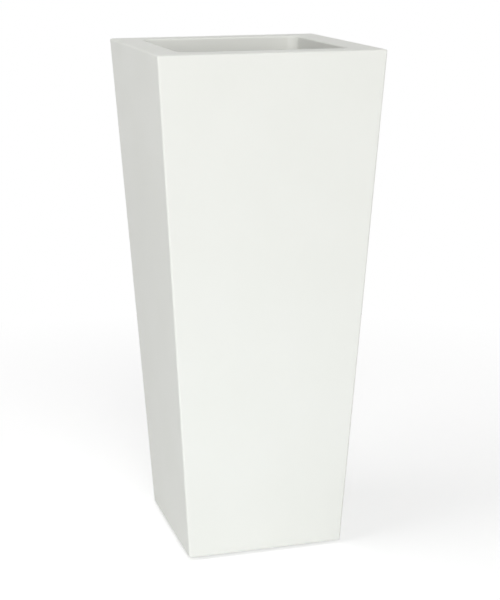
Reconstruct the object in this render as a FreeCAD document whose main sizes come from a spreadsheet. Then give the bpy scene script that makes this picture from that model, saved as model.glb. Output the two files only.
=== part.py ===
"""Tall tapered fiberglass planter, empty, standing on four rubber pads.

Frame: +Z up, origin on the floor under the middle of the base, front face towards -Y. Millimetres.

How it is built, from the outside in:
  outer_shell       five-sided tub moulding: four drafted walls and a bottom
  rim_cap           channel-section ring bonded on the cut top edge of the tub: broad flat rim,
                    skirt inside the wall, and a lip that turns down into the opening
  rim_stiffener_*   four battens bonded up inside that channel
  base_board        plywood board bonded inside the tub's bottom, which takes the screws
  floor_laminate    inner skin over the board, lapped up the walls
  drain_bush        flanged sleeve through skin, board and bottom
  drain_plug        ribbed rubber stopper, pushed in from underneath
  shelf_ledge_*     four angles bonded to the walls
  planting_shelf    loose false bottom that lies on the ledges and lifts out through the opening
  foot_pad_*        four rubber pads, each held by one countersunk screw (foot_screws)
"""

import FreeCAD, Part
import math
import os

import Sketcher

SIZES = {
    # Whole planter
    "total_height": 914,
    "top_width": 400,
    "base_width": 290,
    "foot_height": 5,
    # Tub moulding
    "wall_thickness": 5,
    "bottom_thickness": 5,
    "outer_corner_radius": 4,
    "inner_corner_radius": 8,
    "bottom_edge_radius": 2.5,
    "bond_gap": 0.3,
    # Rim moulding
    "rim_width": 50,
    "rim_thickness": 6,
    "rim_edge_radius": 3.5,
    "opening_edge_radius": 3,
    "opening_corner_radius": 18,
    "lip_depth": 50,
    "lip_thickness": 5,
    "skirt_depth": 30,
    "skirt_thickness": 4,
    # Battens under the rim
    "stiffener_width": 30,
    "stiffener_height": 20,
    "stiffener_chamfer": 2,
    "stiffener_end_gap": 0.5,
    # Base board and inner floor skin
    "board_thickness": 12,
    "floor_thickness": 4,
    "floor_upstand": 40,
    "floor_corner_radius": 12,
    # Drain bush and its plug
    "drain_bore": 20,
    "bush_wall": 3,
    "bush_flange_diameter": 40,
    "bush_flange_thickness": 2,
    "bush_clearance": 0.2,
    "plug_head_diameter": 34,
    "plug_head_thickness": 2.5,
    "plug_stem_length": 18,
    "plug_clearance": 0.1,
    "plug_rib_height": 1.2,
    "plug_ribs": 3,
    "plug_core_diameter": 8,
    "plug_core_depth": 12,
    # Planting shelf and its ledges
    "shelf_depth": 350,
    "shelf_thickness": 15,
    "shelf_clearance": 3,
    "shelf_edge_radius": 2,
    "shelf_bearing": 15,
    "finger_hole_diameter": 28,
    "finger_hole_spacing": 190,
    "perforation_diameter": 12,
    "perforation_pitch": 55,
    "perforation_rows": 3,
    "ledge_thickness": 4,
    "ledge_drop": 40,
    "ledge_root_radius": 3,
    "ledge_end_gap": 0.5,
    # Pads and screws
    "foot_diameter": 36,
    "foot_inset": 40,
    "foot_chamfer": 1,
    "screw_diameter": 4,
    "screw_head_diameter": 8,
    "screw_head_height": 2.4,
    "screw_tip_cover": 2,
    "screw_recess": 1,
    "screw_hole_clearance": 0.15,
    "screw_socket": 2.5,
    "screw_socket_depth": 1.2,
}
SIDES = {"right": 0, "back": 90, "left": 180, "front": 270}
FEET = {"front_left": (-1, -1), "front_right": (1, -1), "back_right": (1, 1), "back_left": (-1, 1)}
TOLERANCE = 1e-3

doc = FreeCAD.newDocument("tall_planter")
sheet = doc.addObject("Spreadsheet::Sheet", "sizes")
for row, (alias, value) in enumerate(SIZES.items(), start=1):
    sheet.set(f"A{row}", alias)
    sheet.set(f"B{row}", str(value))
    sheet.setAlias(f"B{row}", alias)
doc.recompute()


def size(alias):
    return f"sizes.{alias}"


def number(expression):
    """The value of an expression of the sheet."""
    return float(sheet.evalExpression(expression))


# Levels, as expressions of the sheet

SHELL_BOTTOM = size("foot_height")
TUB_FLOOR = f"({SHELL_BOTTOM} + sizes.bottom_thickness)"
BOARD_TOP = f"({TUB_FLOOR} + sizes.board_thickness)"
FLOOR_TOP = f"({BOARD_TOP} + sizes.floor_thickness)"
UPSTAND_TOP = f"({FLOOR_TOP} + sizes.floor_upstand)"
RIM_TOP = size("total_height")
RIM_UNDERSIDE = f"({RIM_TOP} - sizes.rim_thickness)"
SKIRT_BOTTOM = f"({RIM_UNDERSIDE} - sizes.skirt_depth)"
LIP_BOTTOM = f"({RIM_TOP} - sizes.lip_depth)"
SHELF_TOP = f"({RIM_TOP} - sizes.shelf_depth)"
LEDGE_TOP = f"({SHELF_TOP} - sizes.shelf_thickness)"
LEDGE_BOTTOM = f"({LEDGE_TOP} - sizes.ledge_drop)"
SCREW_HEAD_BOTTOM = size("screw_recess")
SCREW_NECK = f"({SCREW_HEAD_BOTTOM} + sizes.screw_head_height)"
SCREW_TOP = f"({BOARD_TOP} - sizes.screw_tip_cover)"


# Widths across the flats at a level. The walls spread evenly from the base to the rim.

SPREAD = f"((sizes.top_width - sizes.base_width) / ({RIM_TOP} - {SHELL_BOTTOM}))"


def outer_width(level):
    return f"(sizes.base_width + ({level} - {SHELL_BOTTOM}) * {SPREAD})"


def cavity_width(level):
    return f"({outer_width(level)} - 2 * sizes.wall_thickness)"


def bonded_width(level):
    """The outside of whatever is bonded to the inside of the walls, one glue line clear of them."""
    return f"({cavity_width(level)} - 2 * sizes.bond_gap)"


def channel_width(level):
    return f"({bonded_width(level)} - 2 * sizes.skirt_thickness)"


def tray_width(level):
    return f"({bonded_width(level)} - 2 * sizes.floor_thickness)"


def opening_width(level):
    return f"({outer_width(level)} - 2 * sizes.rim_width)"


def lip_width(level):
    return f"({opening_width(level)} + 2 * sizes.lip_thickness)"


SHELF_WIDTH = f"({opening_width(LIP_BOTTOM)} - 2 * sizes.shelf_clearance)"
LEDGE_OPENING = f"({SHELF_WIDTH} - 2 * sizes.shelf_bearing)"
FOOT_SPACING = "(sizes.base_width - 2 * sizes.foot_inset)"
BUSH_DIAMETER = "(sizes.drain_bore + 2 * sizes.bush_wall)"
SCREW_HOLE = "(sizes.screw_diameter + 2 * sizes.screw_hole_clearance)"


# Corner radii that follow from a neighbour's

BONDED_RADIUS = "(sizes.inner_corner_radius - sizes.bond_gap)"
CHANNEL_RADIUS = f"({BONDED_RADIUS} - sizes.skirt_thickness)"
COVE_RADIUS = "(sizes.floor_corner_radius / 2)"
LIP_RADIUS = "(sizes.opening_corner_radius + sizes.lip_thickness)"


# Sketches

def new_body(label):
    body = doc.addObject("PartDesign::Body", label)
    body.Label = label
    return body


def new_sketch(body, name, plane, level="0"):
    """An empty sketch on an origin plane of its body, moved out along the plane's normal to a level."""
    sketch = body.newObject("Sketcher::SketchObject", name)
    origin_plane = next(item for item in body.Origin.OriginFeatures if item.Role == plane)
    sketch.AttachmentSupport = [(origin_plane, "")]
    sketch.MapMode = "FlatFace"
    sketch.setExpression("AttachmentOffset.Base.z", level)
    return sketch


def bind(sketch, kind, *where, name, expression):
    """Adds a dimension to a sketch and ties it to an expression of the sheet."""
    index = sketch.addConstraint(Sketcher.Constraint(kind, *where, number(expression)))
    sketch.renameConstraint(index, name)
    sketch.setExpression(f"Constraints.{name}", expression)


def place_point(sketch, item, point, x, y, name):
    """Ties a point of the sketch to a place given by two expressions."""
    bind(sketch, "DistanceX", -1, 1, item, point, name=f"{name}_x", expression=x)
    bind(sketch, "DistanceY", -1, 1, item, point, name=f"{name}_y", expression=y)


def draw_rounded_square(sketch, width, radius):
    """A square centred on the sketch's origin, with rounded corners: side, corner, side, corner and so on."""
    half, corner = number(width) / 2, number(radius)
    for side in range(4):
        turn = FreeCAD.Rotation(FreeCAD.Vector(0, 0, 1), 90 * side)
        start = turn.multVec(FreeCAD.Vector(corner - half, -half, 0))
        end = turn.multVec(FreeCAD.Vector(half - corner, -half, 0))
        centre = turn.multVec(FreeCAD.Vector(half - corner, corner - half, 0))
        sketch.addGeometry(Part.LineSegment(start, end))
        circle = Part.Circle(centre, FreeCAD.Vector(0, 0, 1), corner)
        first_angle = math.radians(90 * side - 90)
        sketch.addGeometry(Part.ArcOfCircle(circle, first_angle, first_angle + math.pi / 2))
    for item in range(8):
        sketch.addConstraint(Sketcher.Constraint("Tangent", item, 2, (item + 1) % 8, 1))
    for side, direction in zip((0, 2, 4, 6), ("Horizontal", "Vertical") * 2):
        sketch.addConstraint(Sketcher.Constraint(direction, side))
    for corner_item in (3, 5, 7):
        sketch.addConstraint(Sketcher.Constraint("Equal", 1, corner_item))
    sketch.addConstraint(Sketcher.Constraint("Symmetric", 1, 3, 5, 3, -1, 1))
    bind(sketch, "Radius", 1, name="corner_radius", expression=radius)
    bind(sketch, "DistanceX", 6, 1, 2, 1, name="width", expression=width)
    bind(sketch, "DistanceY", 0, 1, 4, 1, name="depth", expression=width)


def draw_circles(sketch, diameter, centres):
    """Equal circles at centres given as pairs of expressions."""
    for index, (x, y) in enumerate(centres):
        centre = FreeCAD.Vector(number(x), number(y), 0)
        sketch.addGeometry(Part.Circle(centre, FreeCAD.Vector(0, 0, 1), number(diameter) / 2))
        bind(sketch, "Diameter", index, name=f"diameter_{index}", expression=diameter)
        place_point(sketch, index, 3, x, y, f"centre_{index}")


def draw_outline(sketch, points):
    """A closed outline of straight lines through points given as pairs of expressions."""
    places = [FreeCAD.Vector(number(x), number(y), 0) for x, y in points]
    for start, end in zip(places, places[1:] + places[:1]):
        sketch.addGeometry(Part.LineSegment(start, end))
    for item, (x, y) in enumerate(points):
        following = (item + 1) % len(points)
        sketch.addConstraint(Sketcher.Constraint("Coincident", item, 2, following, 1))
        place_point(sketch, item, 1, x, y, f"point_{item}")


# Features

def tapered_form(body, kind, name, low, high, width, radius):
    """Adds or cuts a rounded square that runs from one level to another and whose width follows width(level)."""
    ends = []
    for end, level in (("low", low), ("high", high)):
        sketch = new_sketch(body, f"{name}_{end}", "XY_Plane", level)
        draw_rounded_square(sketch, width(level), radius)
        ends.append(sketch)
    form = body.newObject(f"PartDesign::{kind}Loft", name)
    form.Profile = ends[0]
    form.Sections = [ends[1]]
    form.Ruled = True
    doc.recompute()


def pad(body, name, sketch, length, both_ways=False):
    feature = body.newObject("PartDesign::Pad", name)
    feature.Profile = sketch
    feature.Midplane = both_ways
    feature.setExpression("Length", length)
    doc.recompute()


def pocket(body, name, sketch, depth, upwards=True):
    """Cuts a sketch's outline out, upwards from the sketch's level unless told otherwise."""
    before = body.Shape.Volume
    feature = body.newObject("PartDesign::Pocket", name)
    feature.Profile = sketch
    feature.Reversed = upwards
    feature.setExpression("Length", depth)
    doc.recompute()
    if not feature.Shape.Volume < before:
        raise RuntimeError(f"{body.Label}: {name} cut nothing")


def turned(body, name, section):
    """A round piece on the body's Z axis, from half of its section given as pairs of expressions."""
    sketch = new_sketch(body, f"{name}_section", "XZ_Plane")
    draw_outline(sketch, section)
    feature = body.newObject("PartDesign::Revolution", name)
    feature.Profile = sketch
    feature.ReferenceAxis = (sketch, ["V_Axis"])
    feature.Angle = 360
    doc.recompute()


def dress_edges(body, kind, name, chosen, amount):
    """Adds a Fillet or a Chamfer to the edges that chosen(edge) accepts."""
    base = body.Tip
    edges = [f"Edge{i}" for i, edge in enumerate(base.Shape.Edges, start=1) if chosen(edge)]
    if not edges:
        raise RuntimeError(f"{body.Label}: no edges for {name}")
    feature = body.newObject(f"PartDesign::{kind}", name)
    feature.Base = (base, edges)
    feature.setExpression({"Fillet": "Radius", "Chamfer": "Size"}[kind], amount)
    doc.recompute()


def level_edges(level, wider_than="0", narrower_than=None):
    """Picks the edges in a level plane whose middle lies in a band of distances from the centre line."""
    height = number(level)
    inside = number(wider_than) / 2
    outside = number(narrower_than) / 2 if narrower_than else math.inf

    def chosen(edge):
        middle = edge.valueAt((edge.FirstParameter + edge.LastParameter) / 2)
        points = [middle, *[vertex.Point for vertex in edge.Vertexes]]
        reach = max(abs(middle.x), abs(middle.y))
        return inside < reach < outside and all(abs(point.z - height) < TOLERANCE for point in points)

    return chosen


def section_edges(*corners):
    """Picks the edges that stand on the given corners of a section drawn in the XZ plane."""
    places = [(number(x), number(z)) for x, z in corners]

    def chosen(edge):
        def meets(x, z):
            return all(math.hypot(end.X - x, end.Z - z) < TOLERANCE for end in edge.Vertexes)

        return any(meets(x, z) for x, z in places)

    return chosen


def turn_to_side(body, side):
    """Turns a body that was drawn on the right-hand side to the side it belongs to."""
    turn = FreeCAD.Rotation(FreeCAD.Vector(0, 0, 1), SIDES[side])
    body.Placement = FreeCAD.Placement(FreeCAD.Vector(), turn)


# Mouldings

def build_outer_shell():
    """Tub: drafted walls open at the top, and a bottom pierced for the bush and the screws."""
    body = new_body("outer_shell")
    corner = size("outer_corner_radius")
    tapered_form(body, "Additive", "tub", SHELL_BOTTOM, RIM_UNDERSIDE, outer_width, corner)
    corner = size("inner_corner_radius")
    tapered_form(body, "Subtractive", "cavity", TUB_FLOOR, RIM_UNDERSIDE, cavity_width, corner)
    dress_edges(body, "Fillet", "bottom_edge", level_edges(SHELL_BOTTOM), size("bottom_edge_radius"))
    cut_bush_hole(body, SHELL_BOTTOM, size("bottom_thickness"))
    cut_screw_holes(body, SHELL_BOTTOM, size("bottom_thickness"))
    return body


def build_rim_cap():
    """Rim moulding: flat top, skirt bonded inside the walls, lip turned down into the opening."""
    body = new_body("rim_cap")
    corner = size("outer_corner_radius")
    tapered_form(body, "Additive", "plate", RIM_UNDERSIDE, RIM_TOP, outer_width, corner)
    tapered_form(body, "Additive", "skirt", SKIRT_BOTTOM, RIM_UNDERSIDE, bonded_width, BONDED_RADIUS)
    tapered_form(body, "Subtractive", "channel", SKIRT_BOTTOM, RIM_UNDERSIDE, channel_width, CHANNEL_RADIUS)
    tapered_form(body, "Additive", "lip", LIP_BOTTOM, RIM_UNDERSIDE, lip_width, LIP_RADIUS)
    corner = size("opening_corner_radius")
    tapered_form(body, "Subtractive", "opening", LIP_BOTTOM, RIM_TOP, opening_width, corner)
    outside = level_edges(RIM_TOP, wider_than=lip_width(RIM_TOP))
    dress_edges(body, "Fillet", "rim_edge", outside, size("rim_edge_radius"))
    inside = level_edges(RIM_TOP, narrower_than=lip_width(RIM_TOP))
    dress_edges(body, "Fillet", "opening_edge", inside, size("opening_edge_radius"))
    return body


def build_floor_laminate():
    """Inner skin over the base board, lapped up the walls, with the bush's flange let in."""
    body = new_body("floor_laminate")
    tapered_form(body, "Additive", "tray", BOARD_TOP, UPSTAND_TOP, bonded_width, BONDED_RADIUS)
    corner = size("floor_corner_radius")
    tapered_form(body, "Subtractive", "tray_space", FLOOR_TOP, UPSTAND_TOP, tray_width, corner)
    dress_edges(body, "Fillet", "cove", level_edges(FLOOR_TOP), COVE_RADIUS)
    cut_bush_hole(body, BOARD_TOP, size("floor_thickness"))
    sketch = new_sketch(body, "flange_seat_outline", "XY_Plane", FLOOR_TOP)
    seat = "sizes.bush_flange_diameter + 2 * sizes.bush_clearance"
    draw_circles(sketch, seat, [("0", "0")])
    pocket(body, "flange_seat", sketch, size("bush_flange_thickness"), upwards=False)
    return body


# Wooden pieces

def build_rim_stiffener(side):
    """Batten glued up under the rim. Front and back run the full width; left and right fit between."""
    body = new_body(f"rim_stiffener_{side}")
    bottom = f"({RIM_UNDERSIDE} - sizes.stiffener_height)"
    outer_face = f"({channel_width(bottom)} / 2 - sizes.bond_gap)"
    inner_face = f"({outer_face} - sizes.stiffener_width)"
    section = [
        (outer_face, bottom),
        (outer_face, RIM_UNDERSIDE),
        (inner_face, RIM_UNDERSIDE),
        (inner_face, bottom),
    ]
    if side in ("front", "back"):
        length = f"2 * ({outer_face} - {CHANNEL_RADIUS})"
    else:
        length = f"2 * ({inner_face} - sizes.stiffener_end_gap)"
    sketch = new_sketch(body, "section", "XZ_Plane")
    draw_outline(sketch, section)
    pad(body, "batten", sketch, length, both_ways=True)
    bottom_edges = section_edges(section[0], section[3])
    dress_edges(body, "Chamfer", "eased_edges", bottom_edges, size("stiffener_chamfer"))
    turn_to_side(body, side)
    return body


def build_base_board():
    """Square plywood board on the tub's bottom, drilled for the bush and the screws."""
    body = new_body("base_board")
    sketch = new_sketch(body, "outline", "XY_Plane", TUB_FLOOR)
    draw_rounded_square(sketch, bonded_width(TUB_FLOOR), BONDED_RADIUS)
    pad(body, "board", sketch, size("board_thickness"))
    cut_bush_hole(body, TUB_FLOOR, size("board_thickness"))
    cut_screw_holes(body, TUB_FLOOR, f"{SCREW_TOP} + sizes.screw_hole_clearance - {TUB_FLOOR}")
    return body


# Planting shelf and what carries it

def build_shelf_ledge(side):
    """Angle bonded to one wall: a level flange for the shelf and a leg down the sloping wall."""
    body = new_body(f"shelf_ledge_{side}")
    inner_face = f"({LEDGE_OPENING} / 2)"
    wall_at_top = f"({bonded_width(LEDGE_TOP)} / 2)"
    wall_at_bottom = f"({bonded_width(LEDGE_BOTTOM)} / 2)"
    underside = f"({LEDGE_TOP} - sizes.ledge_thickness)"
    root = (f"({bonded_width(underside)} / 2 - sizes.ledge_thickness)", underside)
    section = [
        (wall_at_top, LEDGE_TOP),
        (inner_face, LEDGE_TOP),
        (inner_face, underside),
        root,
        (f"({wall_at_bottom} - sizes.ledge_thickness)", LEDGE_BOTTOM),
        (wall_at_bottom, LEDGE_BOTTOM),
    ]
    if side in ("front", "back"):
        length = f"2 * ({wall_at_bottom} - sizes.inner_corner_radius)"
    else:
        length = f"2 * ({inner_face} - sizes.ledge_end_gap)"
    sketch = new_sketch(body, "section", "XZ_Plane")
    draw_outline(sketch, section)
    pad(body, "angle", sketch, length, both_ways=True)
    dress_edges(body, "Fillet", "root", section_edges(root), size("ledge_root_radius"))
    turn_to_side(body, side)
    return body


def build_planting_shelf():
    """Loose false bottom with drain perforations and two finger holes to lift it by."""
    body = new_body("planting_shelf")
    sketch = new_sketch(body, "outline", "XY_Plane", LEDGE_TOP)
    draw_rounded_square(sketch, SHELF_WIDTH, size("opening_corner_radius"))
    pad(body, "panel", sketch, size("shelf_thickness"))
    dress_edges(body, "Fillet", "top_edge", level_edges(SHELF_TOP), size("shelf_edge_radius"))
    dress_edges(body, "Fillet", "bottom_edge", level_edges(LEDGE_TOP), size("shelf_edge_radius"))
    rows = round(number(size("perforation_rows")))
    steps = [f"({row - (rows - 1) / 2} * sizes.perforation_pitch)" for row in range(rows)]
    sketch = new_sketch(body, "perforation_centres", "XY_Plane", LEDGE_TOP)
    draw_circles(sketch, size("perforation_diameter"), [(x, y) for x in steps for y in steps])
    pocket(body, "perforations", sketch, size("shelf_thickness"))
    half_spacing = "(sizes.finger_hole_spacing / 2)"
    sketch = new_sketch(body, "finger_hole_centres", "XY_Plane", LEDGE_TOP)
    draw_circles(sketch, size("finger_hole_diameter"), [(f"-{half_spacing}", "0"), (half_spacing, "0")])
    pocket(body, "finger_holes", sketch, size("shelf_thickness"))
    return body


# Drain

def cut_bush_hole(body, level, depth):
    """Round hole on the centre line that the bush passes through."""
    sketch = new_sketch(body, "bush_hole_outline", "XY_Plane", level)
    draw_circles(sketch, f"({BUSH_DIAMETER} + 2 * sizes.bush_clearance)", [("0", "0")])
    pocket(body, "bush_hole", sketch, depth)


def build_drain_bush():
    """Sleeve from the tub's underside to the top of the floor skin, with a flange let into the skin."""
    body = new_body("drain_bush")
    bore = "(sizes.drain_bore / 2)"
    sleeve = f"({BUSH_DIAMETER} / 2)"
    flange = "(sizes.bush_flange_diameter / 2)"
    seat = f"({FLOOR_TOP} - sizes.bush_flange_thickness)"
    section = [
        (bore, SHELL_BOTTOM),
        (sleeve, SHELL_BOTTOM),
        (sleeve, seat),
        (flange, seat),
        (flange, FLOOR_TOP),
        (bore, FLOOR_TOP),
    ]
    turned(body, "bush", section)
    return body


def build_drain_plug():
    """Rubber stopper pushed up into the bush: flat head, ribbed stem, hollow core from below."""
    body = new_body("drain_plug")
    rib = "(sizes.drain_bore / 2 - sizes.plug_clearance)"
    stem = f"({rib} - sizes.plug_rib_height)"
    head = "(sizes.plug_head_diameter / 2)"
    core = "(sizes.plug_core_diameter / 2)"
    head_bottom = f"({SHELL_BOTTOM} - sizes.plug_head_thickness)"
    core_top = f"({head_bottom} + sizes.plug_core_depth)"
    tip = f"({SHELL_BOTTOM} + sizes.plug_stem_length)"
    section = [
        (core, head_bottom),
        (head, head_bottom),
        (head, SHELL_BOTTOM),
        (stem, SHELL_BOTTOM),
    ]
    ribs = round(number(size("plug_ribs")))
    for index in range(ribs):
        crest = f"({SHELL_BOTTOM} + sizes.plug_stem_length * {index + 1} / {ribs + 1})"
        section += [
            (stem, f"({crest} - sizes.plug_rib_height)"),
            (rib, crest),
            (stem, f"({crest} + sizes.plug_rib_height)"),
        ]
    section += [
        (stem, f"({tip} - sizes.plug_rib_height)"),
        (f"({stem} - sizes.plug_rib_height)", tip),
        ("0", tip),
        ("0", core_top),
        (core, core_top),
    ]
    turned(body, "plug", section)
    return body


# Feet

def foot_centre(corner):
    x, y = FEET[corner]
    return f"({x} * {FOOT_SPACING} / 2)", f"({y} * {FOOT_SPACING} / 2)"


def move_to_foot(body, corner):
    """Moves a body that was drawn on the centre line to one of the four feet."""
    x, y = foot_centre(corner)
    body.setExpression("Placement.Base.x", x)
    body.setExpression("Placement.Base.y", y)


def cut_screw_holes(body, level, depth):
    sketch = new_sketch(body, "screw_hole_centres", "XY_Plane", level)
    draw_circles(sketch, SCREW_HOLE, [foot_centre(corner) for corner in FEET])
    pocket(body, "screw_holes", sketch, depth)


def build_foot_pad(corner):
    """Rubber disc with a countersunk hole for its screw."""
    body = new_body(f"foot_pad_{corner}")
    hole = f"({SCREW_HOLE} / 2)"
    sink = "(sizes.screw_head_diameter / 2 + sizes.screw_hole_clearance)"
    rim = "(sizes.foot_diameter / 2)"
    section = [
        (sink, "0"),
        (f"({rim} - sizes.foot_chamfer)", "0"),
        (rim, size("foot_chamfer")),
        (rim, SHELL_BOTTOM),
        (hole, SHELL_BOTTOM),
        (hole, SCREW_NECK),
        (sink, SCREW_HEAD_BOTTOM),
    ]
    turned(body, "disc", section)
    move_to_foot(body, corner)
    return body


def build_screw(corner):
    """Countersunk screw, head down in its pad, with a hexagon socket."""
    body = new_body(f"screw_{corner}")
    shank = "(sizes.screw_diameter / 2)"
    section = [
        ("0", SCREW_HEAD_BOTTOM),
        ("(sizes.screw_head_diameter / 2)", SCREW_HEAD_BOTTOM),
        (shank, SCREW_NECK),
        (shank, f"({SCREW_TOP} - sizes.screw_diameter)"),
        ("0", SCREW_TOP),
    ]
    turned(body, "shank_and_head", section)
    reach = "(sizes.screw_socket / sqrt(3))"
    corners = [(f"({reach} * cos({turn}))", f"({reach} * sin({turn}))") for turn in range(0, 360, 60)]
    sketch = new_sketch(body, "socket_outline", "XY_Plane", SCREW_HEAD_BOTTOM)
    draw_outline(sketch, corners)
    pocket(body, "socket", sketch, size("screw_socket_depth"))
    move_to_foot(body, corner)
    return body


def build_foot_screws():
    """The four equal screws, as one group of separate solids."""
    group = doc.addObject("Part::Compound", "foot_screws")
    group.Label = "foot_screws"
    group.Links = [build_screw(corner) for corner in FEET]
    return group


# The whole planter

def build_planter():
    return [
        build_outer_shell(),
        build_rim_cap(),
        *[build_rim_stiffener(side) for side in SIDES],
        build_base_board(),
        build_floor_laminate(),
        build_drain_bush(),
        build_drain_plug(),
        *[build_shelf_ledge(side) for side in SIDES],
        build_planting_shelf(),
        *[build_foot_pad(corner) for corner in FEET],
        build_foot_screws(),
    ]


def check(sub_parts):
    """Stops if anything in the document failed, or if a sub-part has no sound shape."""
    for item in doc.Objects:
        if {"Invalid", "Error"} & set(item.State):
            raise RuntimeError(f"{item.Label} failed: {item.State}")
    for item in sub_parts:
        if item.Shape.isNull() or not item.Shape.isValid():
            raise RuntimeError(f"{item.Label} has no valid shape")


def main():
    sub_parts = build_planter()
    doc.recompute()
    check(sub_parts)
    os.makedirs("parts", exist_ok=True)
    for item in sub_parts:
        item.Shape.exportStep(f"parts/{item.Label}.step")
        print(f"{item.Label}: {len(item.Shape.Solids)} solid(s), {item.Shape.Volume / 1000:.1f} cm3")


main()
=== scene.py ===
"""Looks of the tall planter: finishes, a pale floor, soft studio light and the photograph's camera.

Units are metres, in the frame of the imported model: +Z up, origin on the floor under the middle of the base,
front face towards -Y. Patterns are laid in the same frame, so they have real sizes and run on from piece to
piece.
"""

import math

import bpy
from mathutils import Matrix, Vector, noise as smooth_noise


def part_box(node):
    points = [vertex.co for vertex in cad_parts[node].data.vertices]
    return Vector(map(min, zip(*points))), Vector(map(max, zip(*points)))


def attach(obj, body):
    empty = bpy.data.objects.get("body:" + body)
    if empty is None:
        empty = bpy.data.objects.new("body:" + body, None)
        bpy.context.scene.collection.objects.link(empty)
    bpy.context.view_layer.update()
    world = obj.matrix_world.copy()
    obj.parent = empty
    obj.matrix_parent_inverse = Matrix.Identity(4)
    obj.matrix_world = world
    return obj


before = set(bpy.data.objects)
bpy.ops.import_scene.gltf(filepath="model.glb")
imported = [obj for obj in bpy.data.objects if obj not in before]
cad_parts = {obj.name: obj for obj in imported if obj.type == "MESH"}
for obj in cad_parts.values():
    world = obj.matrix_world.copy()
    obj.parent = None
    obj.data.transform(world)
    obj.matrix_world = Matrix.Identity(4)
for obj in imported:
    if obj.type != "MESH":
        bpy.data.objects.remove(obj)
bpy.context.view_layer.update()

MILLIMETRE = 0.001
X, Y, Z = range(3)
WHITE = (1, 1, 1, 1)

# Sides and corners, as the nodes' names give them
SIDES = {
    # name: (degrees to turn the right-hand side to it, axis that it runs along)
    "right": (0, Y),
    "back": (90, X),
    "left": (180, Y),
    "front": (270, X),
}
CORNERS = ("front_left", "front_right", "back_right", "back_left")

# Camera, matched to the seven corners of the planter that the photograph shows
CAMERA_PLACE = Vector((-0.7277, -2.5410, 1.1184))
CAMERA_HEADING = math.radians(16.26)
CAMERA_TILT = math.radians(-14.34)
CAMERA_ROLL = math.radians(-0.19)
FOCAL_LENGTH_PIXELS = 1467.0
IMAGE_HEIGHT_PIXELS = 600
SENSOR_MILLIMETRES = 36.0

# Light, from soft boxes that face the middle of the planter
AMBIENT = 0.24
LAMP_AIM = Vector((0, 0, 0.45))
PLAIN_LIGHT = (1.0, 1.0, 1.0)
COOL_LIGHT = (0.8, 0.9, 1.0)
LAMPS = {
    # name: (place, width, height, watts, colour)
    "front": ((-0.7, -6.0, 2.2), 3.2, 2.8, 202.0, PLAIN_LIGHT),
    "bounce": ((-0.2, -0.7, 0.03), 1.2, 0.3, 1.0, COOL_LIGHT),
    "left": ((-3.2, -0.6, 1.4), 2.0, 2.2, 21.0, PLAIN_LIGHT),
    "top": ((-0.8, 0.0, 3.6), 2.0, 2.0, 25.0, PLAIN_LIGHT),
    "right": ((3.2, 0.9, 0.45), 1.6, 0.8, 7.0, PLAIN_LIGHT),
    "back": ((0.9, 3.3, 0.45), 2.6, 0.8, 26.0, PLAIN_LIGHT),
}

# Floor. Its own grey shows near the planter, and it has faded to white at the second distance of the fade.
FLOOR_REACH = 30.0
FLOOR_DROP = 0.1 * MILLIMETRE
FLOOR_WHITE = 0.88
FLOOR_LIFT = 0.42
FLOOR_FADE = (0.7, 1.6)

# Limits between the finishes of the tub and the rim: how steeply a face's normal rises if it is the tub's
# floor, the slack in a height, and how far in from the rim's outer edge only the lip faces inward
FLOOR_RISE = 0.5
SLACK = 0.1 * MILLIMETRE
LIP_BAND = 45 * MILLIMETRE

# Patterns
STRAND_LENGTH = 30 * MILLIMETRE
STRAND_WIDTH = 1.6 * MILLIMETRE
STRAND_DIRECTIONS = 7
PEBBLE_SIZE = 1.6 * MILLIMETRE
GRAIN_STRETCH = 14
TURNING_PITCH = 0.25 * MILLIMETRE

# Beads of paste along the shelf's ledges. They bite a little into the wall and the ledge.
GLUE_LINE = 0.3 * MILLIMETRE
BEAD_BITE = 0.3 * MILLIMETRE
BEAD_WIDTH = 6 * MILLIMETRE
BEAD_HEIGHT = 5 * MILLIMETRE
BEAD_STEP = 3 * MILLIMETRE
BEAD_TAPER = 12 * MILLIMETRE
BEAD_END_SHARE = 0.15
BEAD_PARTS = 5
BEAD_WAVES = (35 * MILLIMETRE, 11 * MILLIMETRE)
BEAD_WIDTH_SWELLS = (0.5, 0.25)
BEAD_HEIGHT_SWELLS = (-0.3, 0.5)

# Colours, as linear values
WHITE_GELCOAT = (0.855, 0.862, 0.818)
WHITE_GELCOAT_DEEP = (0.846, 0.854, 0.807)
FLOWCOAT = (0.66, 0.66, 0.62)
FLOWCOAT_STRANDS = (0.74, 0.74, 0.70)
PASTE = (0.62, 0.60, 0.53)
PASTE_DARK = (0.50, 0.49, 0.43)
SHELF_GREY = (0.075, 0.079, 0.083)
SHELF_GREY_WORN = (0.105, 0.109, 0.112)
VENEER = (0.58, 0.40, 0.22)
VENEER_DARK = (0.36, 0.21, 0.10)
PINE = (0.68, 0.49, 0.28)
PINE_DARK = (0.47, 0.29, 0.13)
PIPE_GREY = (0.36, 0.37, 0.37)
PIPE_GREY_PALE = (0.42, 0.43, 0.43)
RUBBER = (0.018, 0.018, 0.02)
RUBBER_DUSTY = (0.045, 0.044, 0.043)
STEEL = (0.56, 0.55, 0.53)
STEEL_BRIGHT = (0.62, 0.61, 0.60)


# Nodes

def add_node(tree, kind, inputs=None, **settings):
    """A shader node with its settings, its input values, and links where an input is given as a socket."""
    made = tree.nodes.new(kind)
    for name, value in settings.items():
        setattr(made, name, value)
    for name, value in (inputs or {}).items():
        if isinstance(value, bpy.types.NodeSocket):
            tree.links.new(value, made.inputs[name])
        else:
            made.inputs[name].default_value = value
    return made


def calculate(tree, operation, first, second=0.0):
    return add_node(tree, "ShaderNodeMath", {0: first, 1: second}, operation=operation).outputs[0]


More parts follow.
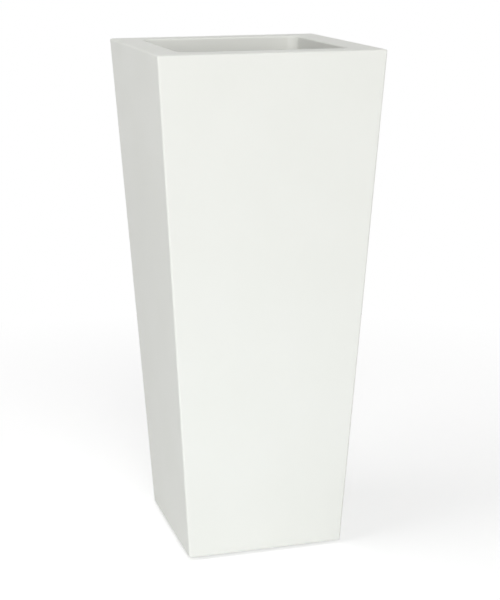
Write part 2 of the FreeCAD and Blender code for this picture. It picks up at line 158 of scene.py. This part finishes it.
def map_range(tree, value, low, high, to_low=0.0, to_high=1.0):
    ends = {"From Min": low, "From Max": high, "To Min": to_low, "To Max": to_high}
    return add_node(tree, "ShaderNodeMapRange", {"Value": value, **ends}).outputs[0]


def mix_colours(tree, factor, first, second):
    """The node has sockets of the same names for each kind of data, so those for colours go by number."""
    inputs = {0: factor, 6: (*first, 1), 7: (*second, 1)}
    return add_node(tree, "ShaderNodeMix", inputs, data_type="RGBA").outputs[2]


def noise(tree, coordinates, grain, detail=2.0, stretch=(1, 1, 1)):
    """Cloudy values around 0.5. Their blotches are about grain across, times stretch along each axis."""
    placing = {"Vector": coordinates, "Scale": stretch}
    place = add_node(tree, "ShaderNodeMapping", placing, vector_type="TEXTURE").outputs[0]
    values = {"Vector": place, "Scale": 1 / grain, "Detail": detail}
    return add_node(tree, "ShaderNodeTexNoise", values).outputs["Fac"]


def roughen(tree, shader, *layers):
    """Bumps on bumps: each layer is a height between 0 and 1 and the real height that 1 stands for."""
    normal = None
    for height, distance in layers:
        values = {"Height": height, "Distance": distance}
        if normal:
            values["Normal"] = normal
        normal = add_node(tree, "ShaderNodeBump", values).outputs[0]
    tree.links.new(normal, shader.inputs["Normal"])


def new_finish(name, constants=None):
    """A material, its node tree, its shader with some constants set, and the frame's coordinates."""
    material = bpy.data.materials.new(name)
    material.use_nodes = True
    tree = material.node_tree
    shader = tree.nodes["Principled BSDF"]
    for socket, value in (constants or {}).items():
        shader.inputs[socket].default_value = value
    coordinates = add_node(tree, "ShaderNodeTexCoord").outputs["Object"]
    return material, tree, shader, coordinates


def connect(tree, shader, colour, roughness):
    tree.links.new(colour, shader.inputs["Base Color"])
    tree.links.new(roughness, shader.inputs["Roughness"])


# Finishes

def gelcoat():
    """Satin white gelcoat, sanded and polished: slow waves of the hand-laid wall and a fine orange peel."""
    material, tree, shader, place = new_finish("gelcoat", {"Specular IOR Level": 0.3})
    cloud = map_range(tree, noise(tree, place, grain=0.16, detail=1.0), 0.35, 0.65)
    polish = map_range(tree, noise(tree, place, grain=0.07), 0.3, 0.7, 0.44, 0.52)
    connect(tree, shader, mix_colours(tree, cloud, WHITE_GELCOAT, WHITE_GELCOAT_DEEP), polish)
    waves = noise(tree, place, grain=0.13, detail=0.0)
    mat_print = noise(tree, place, grain=0.022, detail=1.0)
    orange_peel = noise(tree, place, grain=0.0035, detail=1.0)
    layers = (waves, 0.6 * MILLIMETRE), (mat_print, 0.03 * MILLIMETRE), (orange_peel, 0.008 * MILLIMETRE)
    roughen(tree, shader, *layers)
    return material


def laminate(name, across, up):
    """Raw inner side of the mouldings: chopped strands, in the plane of two axes, show through flowcoat."""
    material, tree, shader, place = new_finish(name)
    axes = add_node(tree, "ShaderNodeSeparateXYZ", {"Vector": place}).outputs
    flat = add_node(tree, "ShaderNodeCombineXYZ", {"X": axes[across], "Y": axes[up]}).outputs[0]
    strands = None
    for direction in range(STRAND_DIRECTIONS):
        placing = {
            "Vector": flat,
            "Location": (0, 0, direction),
            "Rotation": (0, 0, math.pi * direction / STRAND_DIRECTIONS),
            "Scale": (STRAND_LENGTH, STRAND_WIDTH, 1),
        }
        turned = add_node(tree, "ShaderNodeMapping", placing, vector_type="TEXTURE").outputs[0]
        values = {"Vector": turned, "Scale": 1.0, "Detail": 0.0}
        fibres = add_node(tree, "ShaderNodeTexNoise", values).outputs["Fac"]
        strands = calculate(tree, "MAXIMUM", strands, fibres) if strands else fibres
    strands = map_range(tree, strands, 0.62, 0.78)
    pools = noise(tree, place, grain=0.012)
    colour = mix_colours(tree, strands, FLOWCOAT, FLOWCOAT_STRANDS)
    connect(tree, shader, colour, map_range(tree, pools, 0.3, 0.7, 0.38, 0.62))
    roughen(tree, shader, (pools, 0.5 * MILLIMETRE), (strands, 0.25 * MILLIMETRE))
    return material


def bonding_paste():
    """Filled resin paste, wiped with a finger and left as it set."""
    material, tree, shader, place = new_finish("bonding_paste")
    drag = noise(tree, place, grain=0.006, detail=3.0)
    colour = mix_colours(tree, drag, PASTE_DARK, PASTE)
    connect(tree, shader, colour, map_range(tree, drag, 0.3, 0.7, 0.5, 0.7))
    roughen(tree, shader, (drag, 0.4 * MILLIMETRE))
    return material


def shelf_board():
    """Dark recycled polyethylene: pebbled skin, slightly paler where it is scuffed."""
    material, tree, shader, place = new_finish("shelf_board")
    scuffs = map_range(tree, noise(tree, place, grain=0.02, detail=6.0, stretch=(3, 1, 1)), 0.5, 0.72)
    colour = mix_colours(tree, scuffs, SHELF_GREY, SHELF_GREY_WORN)
    connect(tree, shader, colour, map_range(tree, scuffs, 0, 1, 0.5, 0.7))
    values = {"Vector": place, "Scale": 1 / PEBBLE_SIZE}
    pebbles = add_node(tree, "ShaderNodeTexVoronoi", values).outputs["Distance"]
    roughen(tree, shader, (pebbles, 0.08 * MILLIMETRE))
    return material


def wood(name, along, pale, dark, rings):
    """Sawn softwood or veneer whose grain runs along one axis. Its figure passes through so many rings."""
    material, tree, shader, place = new_finish(name)
    stretch = [GRAIN_STRETCH if axis == along else 1 for axis in (X, Y, Z)]
    figure = noise(tree, place, grain=0.012, detail=3.0, stretch=stretch)
    bands = calculate(tree, "PINGPONG", calculate(tree, "MULTIPLY", figure, rings), 1.0)
    pores = noise(tree, place, grain=0.0009, stretch=stretch)
    connect(tree, shader, mix_colours(tree, bands, pale, dark), map_range(tree, pores, 0.3, 0.7, 0.62, 0.8))
    roughen(tree, shader, (bands, 0.05 * MILLIMETRE), (pores, 0.12 * MILLIMETRE))
    return material


def pipe_plastic():
    """Moulded grey PVC with faint flow marks."""
    material, tree, shader, place = new_finish("pipe_plastic")
    flow = noise(tree, place, grain=0.006, detail=3.0, stretch=(1, 1, 2))
    colour = mix_colours(tree, flow, PIPE_GREY, PIPE_GREY_PALE)
    connect(tree, shader, colour, map_range(tree, flow, 0.3, 0.7, 0.34, 0.46))
    roughen(tree, shader, (flow, 0.03 * MILLIMETRE))
    return material


def rubber():
    """Black rubber, matt and finely grained, with a little dust."""
    material, tree, shader, place = new_finish("rubber")
    dust = map_range(tree, noise(tree, place, grain=0.008, detail=4.0), 0.5, 0.75)
    colour = mix_colours(tree, dust, RUBBER, RUBBER_DUSTY)
    connect(tree, shader, colour, map_range(tree, dust, 0, 1, 0.68, 0.9))
    roughen(tree, shader, (noise(tree, place, grain=0.0006), 0.06 * MILLIMETRE))
    return material


def stainless():
    """Stainless steel with turned rings around each screw's axis, which is in the middle of its pad."""
    pad_low, pad_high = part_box("foot_pad_front_right")
    screw_reach = (pad_low.x + pad_high.x) / 2
    material, tree, shader, place = new_finish("stainless", {"Metallic": 1.0})
    axes = add_node(tree, "ShaderNodeSeparateXYZ", {"Vector": place}).outputs
    squares = []
    for axis in (X, Y):
        offset = calculate(tree, "SUBTRACT", calculate(tree, "ABSOLUTE", axes[axis]), screw_reach)
        squares.append(calculate(tree, "POWER", offset, 2.0))
    radius = calculate(tree, "SQRT", calculate(tree, "ADD", *squares))
    rings = calculate(tree, "PINGPONG", radius, TURNING_PITCH / 2)
    ridges = calculate(tree, "MULTIPLY", rings, 2 / TURNING_PITCH)
    shade = noise(tree, place, grain=0.002)
    colour = mix_colours(tree, shade, STEEL, STEEL_BRIGHT)
    connect(tree, shader, colour, map_range(tree, shade, 0.3, 0.7, 0.24, 0.36))
    roughen(tree, shader, (ridges, 0.01 * MILLIMETRE))
    return material


# Dressing

def dress(name, finishes, choose=None):
    """Puts finishes on a CAD node. choose(face) says which of them a face takes."""
    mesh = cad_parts[name].data
    mesh.materials.clear()
    for finish in finishes:
        mesh.materials.append(finish)
    for face in mesh.polygons:
        face.material_index = choose(face) if choose else 0


def axis_faced(face):
    return max((X, Y, Z), key=lambda axis: abs(face.normal[axis]))


def faces_inward(face):
    return face.normal.x * face.center.x + face.normal.y * face.center.y < 0


def dress_mouldings():
    """Gelcoat on the moulded sides. Raw sides get the laminate that lies in the plane of the face."""
    coat = gelcoat()
    raw = [
        laminate("laminate_facing_x", Y, Z),
        laminate("laminate_facing_y", X, Z),
        laminate("laminate_facing_z", X, Y),
    ]
    shell_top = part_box("outer_shell")[1].z
    lip_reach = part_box("rim_cap")[1].x - LIP_BAND

    def shell_side(face):
        """Gelcoat outside and underneath, laminate on the walls' inner faces and the tub's floor."""
        inside = faces_inward(face) or face.normal.z > FLOOR_RISE
        return 1 + axis_faced(face) if inside else 0

    def cap_side(face):
        """Gelcoat on top, on the outer edge and down the lip's inner face, laminate in the channel below."""
        reach = max(abs(face.center.x), abs(face.center.y))
        on_top = face.center.z > shell_top + SLACK
        on_lip = faces_inward(face) and reach < lip_reach
        return 0 if on_top or on_lip else 1 + axis_faced(face)

    dress("outer_shell", [coat, *raw], shell_side)
    dress("rim_cap", [coat, *raw], cap_side)
    dress("floor_laminate", raw, axis_faced)
    for side in SIDES:
        dress(f"shelf_ledge_{side}", raw, axis_faced)


def dress_fittings():
    for side, (_, along) in SIDES.items():
        dress(f"rim_stiffener_{side}", [wood(f"pine_{side}", along, PINE, PINE_DARK, rings=10)])
    dress("base_board", [wood("veneer", X, VENEER, VENEER_DARK, rings=20 / 3)])
    dress("planting_shelf", [shelf_board()])
    dress("drain_bush", [pipe_plastic()])
    black_rubber = rubber()
    dress("drain_plug", [black_rubber])
    for corner in CORNERS:
        dress(f"foot_pad_{corner}", [black_rubber])
    dress("foot_screws", [stainless()])


# Bonding paste

def swell(run, turn, shares):
    """How many times its usual size the bead is at one place: each wave changes it by up to its share."""
    waves = [smooth_noise.noise(Vector((run / length, turn, length))) for length in BEAD_WAVES]
    return 1 + sum(share * wave for share, wave in zip(shares, waves))


def bead_section(wall, width, height):
    """Points (reach, height) around a bead: its foot in the ledge, then a hollow front up to the wall."""
    section = [(wall + BEAD_BITE, -BEAD_BITE), (wall - width, -BEAD_BITE)]
    for part in range(BEAD_PARTS + 1):
        share = part / BEAD_PARTS
        inward = width * (1 - share) ** 2
        section.append((wall - inward + BEAD_BITE * share, height * share ** 2))
    return section


def tube_faces(sections, size):
    """Faces of a closed tube through so many sections of size points each."""
    last = (sections - 1) * size
    faces = []
    for first in range(0, last, size):
        for point in range(size):
            following = (point + 1) % size
            faces.append((first + point, first + following, first + size + following, first + size + point))
    return faces + [tuple(reversed(range(size))), tuple(range(last, last + size))]


def paste_bead(side, turn, along, finish):
    """Paste squeezed out along the joint of a ledge and its wall: a hollow fillet of uneven width.

    It is laid out as on the right-hand wall and turned to its side.
    """
    ledge_low, ledge_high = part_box(f"shelf_ledge_{side}")
    half_length = (ledge_high[along] - ledge_low[along]) / 2
    wall = max(abs(corner[1 - along]) for corner in (ledge_low, ledge_high)) + GLUE_LINE
    steps = math.ceil(2 * half_length / BEAD_STEP)
    vertices = []
    for step in range(steps + 1):
        run = half_length * (2 * step / steps - 1)
        thinning = min(1.0, (half_length - abs(run)) / BEAD_TAPER + BEAD_END_SHARE)
        width = BEAD_WIDTH * thinning * swell(run, turn, BEAD_WIDTH_SWELLS)
        height = BEAD_HEIGHT * thinning * swell(run, turn, BEAD_HEIGHT_SWELLS)
        section = bead_section(wall, width, height)
        vertices += [(x, run, ledge_high.z + z) for x, z in section]
    mesh = bpy.data.meshes.new(f"paste_bead_{side}")
    mesh.from_pydata(vertices, [], tube_faces(steps + 1, len(section)))
    mesh.transform(Matrix.Rotation(math.radians(turn), 4, "Z"))
    mesh.polygons.foreach_set("use_smooth", [True] * len(mesh.polygons))
    mesh.materials.append(finish)
    bead = bpy.data.objects.new(mesh.name, mesh)
    bpy.context.scene.collection.objects.link(bead)
    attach(bead, "planter")


def lay_paste():
    finish = bonding_paste()
    for side, (turn, along) in SIDES.items():
        paste_bead(side, turn, along, finish)


# Studio

def seen_rays(tree):
    """1 on rays from the camera and on mirrored or transmitted ones, 0 on the rays that light the planter."""
    path = add_node(tree, "ShaderNodeLightPath").outputs
    seen = calculate(tree, "MAXIMUM", path["Is Camera Ray"], path["Is Glossy Ray"])
    return calculate(tree, "MAXIMUM", seen, path["Is Transmission Ray"])


def make_world():
    """Even ambient light, in front of a white backdrop."""
    world = bpy.data.worlds.new("studio")
    world.use_nodes = True
    bpy.context.scene.world = world
    tree = world.node_tree
    ambient = tree.nodes["Background"]
    ambient.inputs["Color"].default_value = WHITE
    ambient.inputs["Strength"].default_value = AMBIENT
    backdrop = add_node(tree, "ShaderNodeBackground", {"Color": WHITE, "Strength": 1.0})
    shaders = {0: seen_rays(tree), 1: ambient.outputs[0], 2: backdrop.outputs[0]}
    both = add_node(tree, "ShaderNodeMixShader", shaders)
    tree.links.new(both.outputs[0], tree.nodes["World Output"].inputs["Surface"])


def floor_finish():
    """Pale floor that keeps the planter's shadow near it, and is as white as the backdrop further out.

    It is lifted to white only where it is seen, and it doesn't show from below.
    """
    material, tree, shader, place = new_finish("studio_floor", {
        "Base Color": (FLOOR_WHITE, FLOOR_WHITE, FLOOR_WHITE, 1),
        "Roughness": 0.9,
        "Specular IOR Level": 0.0,
    })
    seen = seen_rays(tree)
    lift = calculate(tree, "MULTIPLY", seen, FLOOR_LIFT)
    glow = add_node(tree, "ShaderNodeEmission", {"Strength": lift}).outputs[0]
    near = add_node(tree, "ShaderNodeAddShader", {0: shader.outputs[0], 1: glow}).outputs[0]
    white = add_node(tree, "ShaderNodeEmission", {"Strength": 1.0}).outputs[0]
    distance = add_node(tree, "ShaderNodeVectorMath", {0: place}, operation="LENGTH").outputs["Value"]
    far = calculate(tree, "MULTIPLY", map_range(tree, distance, *FLOOR_FADE), seen)
    above = add_node(tree, "ShaderNodeMixShader", {0: far, 1: near, 2: white}).outputs[0]
    clear = add_node(tree, "ShaderNodeBsdfTransparent").outputs[0]
    underneath = add_node(tree, "ShaderNodeNewGeometry").outputs["Backfacing"]
    surface = add_node(tree, "ShaderNodeMixShader", {0: underneath, 1: above, 2: clear}).outputs[0]
    tree.links.new(surface, tree.nodes["Material Output"].inputs["Surface"])
    return material


def make_floor():
    mesh = bpy.data.meshes.new("floor")
    square = ((-1, -1), (1, -1), (1, 1), (-1, 1))
    corners = [(x * FLOOR_REACH, y * FLOOR_REACH, -FLOOR_DROP) for x, y in square]
    mesh.from_pydata(corners, [], [(0, 1, 2, 3)])
    mesh.materials.append(floor_finish())
    floor = bpy.data.objects.new("floor", mesh)
    bpy.context.scene.collection.objects.link(floor)


def make_lamps():
    for name, (place, width, height, watts, colour) in LAMPS.items():
        light = bpy.data.lights.new(name, "AREA")
        light.shape = "RECTANGLE"
        light.size = width
        light.size_y = height
        light.energy = watts
        light.color = colour
        lamp = bpy.data.objects.new(name, light)
        bpy.context.scene.collection.objects.link(lamp)
        lamp.location = place
        lamp.visible_camera = False
        lamp.rotation_mode = "QUATERNION"
        lamp.rotation_quaternion = (LAMP_AIM - Vector(place)).to_track_quat("-Z", "Y")


def make_camera():
    view = bpy.data.cameras.new("camera")
    view.sensor_width = SENSOR_MILLIMETRES
    view.lens = FOCAL_LENGTH_PIXELS / IMAGE_HEIGHT_PIXELS * SENSOR_MILLIMETRES
    camera = bpy.data.objects.new("camera", view)
    bpy.context.scene.collection.objects.link(camera)
    forward = Vector((
        math.sin(CAMERA_HEADING) * math.cos(CAMERA_TILT),
        math.cos(CAMERA_HEADING) * math.cos(CAMERA_TILT),
        math.sin(CAMERA_TILT),
    ))
    level = Vector((math.cos(CAMERA_HEADING), -math.sin(CAMERA_HEADING), 0))
    upright = level.cross(forward)
    right = math.cos(CAMERA_ROLL) * level + math.sin(CAMERA_ROLL) * upright
    up = math.cos(CAMERA_ROLL) * upright - math.sin(CAMERA_ROLL) * level
    turn = Matrix((right, up, -forward)).transposed()
    camera.matrix_world = Matrix.Translation(CAMERA_PLACE) @ turn.to_4x4()
    bpy.context.scene.camera = camera


make_camera()
make_world()
make_lamps()
make_floor()
dress_mouldings()
dress_fittings()
lay_paste()
bpy.context.scene.view_settings.view_transform = "Standard"
